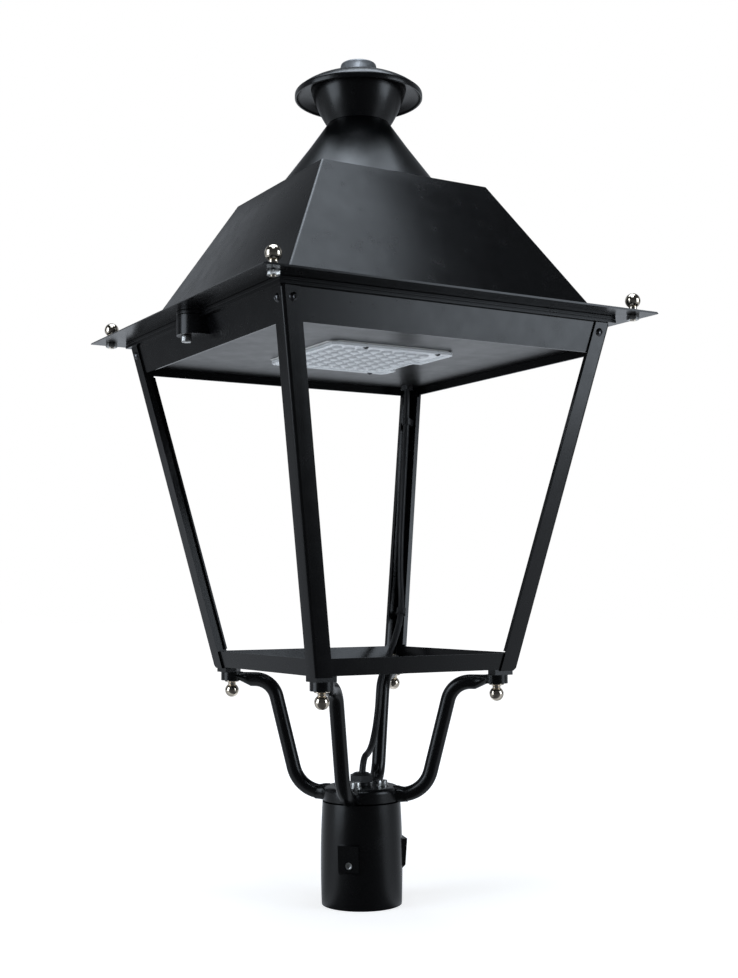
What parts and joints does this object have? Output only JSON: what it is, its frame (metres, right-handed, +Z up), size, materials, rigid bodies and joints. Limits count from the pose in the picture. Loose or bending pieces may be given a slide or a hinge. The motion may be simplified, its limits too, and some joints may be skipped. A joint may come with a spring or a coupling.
{
  "type": "street light head",
  "caption": "Four-sided post-top lantern on a sleeve, with bent arms, leaning legs, an LED tray and a hinged pyramid roof with a chimney cap.",
  "frame": {"origin": "centre of the sleeve's mouth, where the post goes in", "axes": "+Z up along the post; the latch faces -X, the hinge is on +X and the lead runs up the +X +Y leg"},
  "size_m": [0.4458, 0.4458, 0.8972],
  "materials": {
    "black_coat": "satin powder coat",
    "bare_aluminium": "satin, spun",
    "steel": "zinc plated",
    "black_screw": "black oxide",
    "nickel": "polished nickel",
    "black_plastic": "moulded nylon",
    "cable_sheath": "smooth sheath",
    "gasket": "silicone",
    "board": "white solder mask",
    "lens": "clear optical plastic",
    "driver_case": "anodised",
    "gear_plastic": "moulded"
  },
  "bodies": {
    "lantern": {"post_sleeve": "black_coat", "arm_spider": "black_coat", "bottom_frame": "black_coat", "leg_front": "black_coat", "leg_left": "black_coat", "leg_right": "black_coat", "leg_back": "black_coat", "upper_frame": "black_coat", "led_plate": "black_coat", "hinge_frame_leaves": "black_coat", "set_screws": "steel", "hub_screws": "steel", "hub_washers": "steel", "clip_screws": "steel", "hinge_pins": "steel", "tray_screws": "steel", "driver_screws": "steel", "lower_finial_nuts": "steel", "leg_screws": "black_screw", "lens_screws": "black_screw", "lower_ball_finials": "nickel", "gland_body": "black_plastic", "gland_nut": "black_plastic", "tray_gland_body": "black_plastic", "tray_gland_nut": "black_plastic", "cable_clips": "black_plastic", "supply_cable": "cable_sheath", "lens_gasket": "gasket", "led_board": "board", "led_lens": "lens", "led_driver": "driver_case", "surge_protector": "gear_plastic", "terminal_block": "gear_plastic"},
    "roof": {"roof_canopy": "black_coat", "roof_rim": "black_coat", "latch_keeper": "black_coat", "chimney_cone": "black_coat", "chimney_cup": "black_coat", "chimney_hat": "black_coat", "hat_knob": "bare_aluminium", "tie_rod": "steel", "tie_nut": "steel", "upper_ball_finials": "nickel", "upper_finial_nuts": "steel", "hinge_roof_leaves": "black_coat"},
    "latch": {"latch_screw": "steel"}
  },
  "joints": [
    {"name": "roof_hinge", "type": "hinge", "parent": "lantern", "child": "roof", "pos_m": [0.19902, 0, 0.5975], "axis": [0, 1, 0], "range_deg": [0, 95]},
    {"name": "latch_slide", "type": "slide", "parent": "lantern", "child": "latch", "axis": [0, 0, -1], "range_m": [0, 0.012]}
  ]
}
